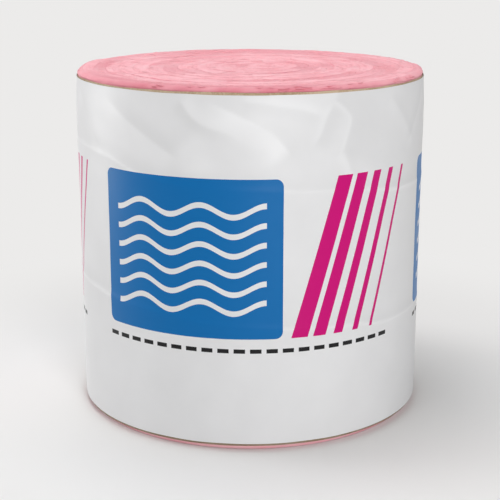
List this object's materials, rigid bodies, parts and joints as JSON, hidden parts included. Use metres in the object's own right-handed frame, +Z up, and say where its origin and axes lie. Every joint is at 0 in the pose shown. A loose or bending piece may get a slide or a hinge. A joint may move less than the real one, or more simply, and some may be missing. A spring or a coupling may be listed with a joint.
{
  "type": "insulation roll",
  "caption": "Standing roll of kraft-faced glass wool insulation, its spiral turns showing on both ends, held shut by a printed film wrap.",
  "frame": {"origin": "centre of the roll's foot, on the floor", "axes": "+Z up along the roll's axis; the lapped ends of the film and the facing are on the +Y side, away from the front"},
  "size_m": [0.5944, 0.5946, 0.584],
  "materials": {
    "glass_wool": "matte, fibrous",
    "kraft_paper": "matte",
    "wrap_film": "semi-gloss, printed"
  },
  "bodies": {
    "root": {"wool_roll": "glass_wool", "kraft_facing": "kraft_paper", "film_wrap": "wrap_film"}
  },
  "joints": []
}
